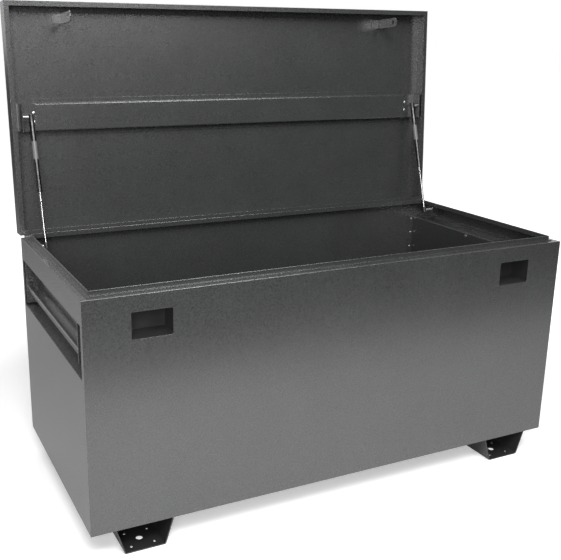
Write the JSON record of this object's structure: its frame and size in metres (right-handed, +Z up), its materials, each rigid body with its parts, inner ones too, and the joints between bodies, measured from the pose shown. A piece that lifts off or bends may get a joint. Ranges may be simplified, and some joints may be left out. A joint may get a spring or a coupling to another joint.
{
  "type": "steel storage chest",
  "caption": "Long steel job-site chest on channel skids, with a hinged lid on gas struts, padlock tabs and windows, and a recessed lift bar at each end.",
  "frame": {"origin": "on the floor under the middle of the chest, at the centre of the four anchor holes", "axes": "+X along the chest's length to the right as seen from its front, +Y to its back, +Z up"},
  "size_m": [1.219, 0.6405, 1.1305],
  "materials": {
    "charcoal_coat": "fine-textured powder coat, semi-gloss",
    "skid_black": "black powder coat",
    "zinc_steel": "zinc-plated",
    "chrome_rod": "polished",
    "strut_black": "gloss black",
    "socket_plastic": "moulded"
  },
  "bodies": {
    "chest": {"front_panel": "charcoal_coat", "back_panel": "charcoal_coat", "floor_pan": "charcoal_coat", "rim_front": "charcoal_coat", "rim_back": "charcoal_coat", "rim_left": "charcoal_coat", "rim_right": "charcoal_coat", "bar_plate_bolts": "zinc_steel", "recess_rivets": "zinc_steel", "hinge_body_leaf": "charcoal_coat", "hinge_pin": "zinc_steel", "wall_bracket_screws": "zinc_steel", "left_side_panel": "charcoal_coat", "right_side_panel": "charcoal_coat", "left_skid": "skid_black", "right_skid": "skid_black", "left_lock_pocket": "charcoal_coat", "right_lock_pocket": "charcoal_coat", "left_lock_staple": "charcoal_coat", "right_lock_staple": "charcoal_coat", "left_handle_recess": "charcoal_coat", "right_handle_recess": "charcoal_coat", "left_lift_bar": "charcoal_coat", "right_lift_bar": "charcoal_coat", "left_bar_bracket": "charcoal_coat", "left_bar_end_plate": "charcoal_coat", "right_bar_bracket": "charcoal_coat", "right_bar_end_plate": "charcoal_coat", "left_strut_wall_bracket": "charcoal_coat", "right_strut_wall_bracket": "charcoal_coat", "left_lower_stud": "zinc_steel", "right_lower_stud": "zinc_steel"},
    "lid": {"lid_pan": "charcoal_coat", "lid_stiffener": "charcoal_coat", "lid_bracket_rivets": "zinc_steel", "hinge_lid_leaf": "charcoal_coat", "left_lock_tab": "charcoal_coat", "right_lock_tab": "charcoal_coat", "left_strut_lid_bracket": "charcoal_coat", "right_strut_lid_bracket": "charcoal_coat", "left_upper_stud": "zinc_steel", "right_upper_stud": "zinc_steel"},
    "left_rod": {"left_strut_rod": "chrome_rod", "left_strut_rod_socket": "socket_plastic", "left_strut_piston": "strut_black"},
    "left_tube": {"left_strut_tube": "strut_black", "left_strut_guide": "strut_black", "left_strut_tube_socket": "socket_plastic"},
    "right_rod": {"right_strut_rod": "chrome_rod", "right_strut_rod_socket": "socket_plastic", "right_strut_piston": "strut_black"},
    "right_tube": {"right_strut_tube": "strut_black", "right_strut_guide": "strut_black", "right_strut_tube_socket": "socket_plastic"}
  },
  "joints": [
    {"name": "lid_hinge", "type": "hinge", "parent": "chest", "child": "lid", "pos_m": [0, 0.283, 0.571], "axis": [1, 0, 0], "range_deg": [0, 93.5]},
    {"name": "left_strut_pivot", "type": "hinge", "parent": "chest", "child": "left_rod", "pos_m": [-0.5635, 0.209, 0.5615], "axis": [1, 0, 0], "range_deg": [0, 105]},
    {"name": "left_strut_slide", "type": "slide", "parent": "left_rod", "child": "left_tube", "axis": [0, 0.2955, 0.9553], "range_m": [-0.0975, 0]},
    {"name": "right_strut_pivot", "type": "hinge", "parent": "chest", "child": "right_rod", "pos_m": [0.5635, 0.209, 0.5615], "axis": [1, 0, 0], "range_deg": [0, 105]},
    {"name": "right_strut_slide", "type": "slide", "parent": "right_rod", "child": "right_tube", "axis": [0, 0.2955, 0.9553], "range_m": [-0.0975, 0]}
  ],
  "couplings": [
    {"joint": "left_strut_pivot", "follows": "lid_hinge", "ratio": 1.1168},
    {"joint": "left_strut_slide", "follows": "lid_hinge", "m_per_rad": -0.059233},
    {"joint": "right_strut_pivot", "follows": "lid_hinge", "ratio": 1.1168},
    {"joint": "right_strut_slide", "follows": "lid_hinge", "m_per_rad": -0.059233}
  ]
}
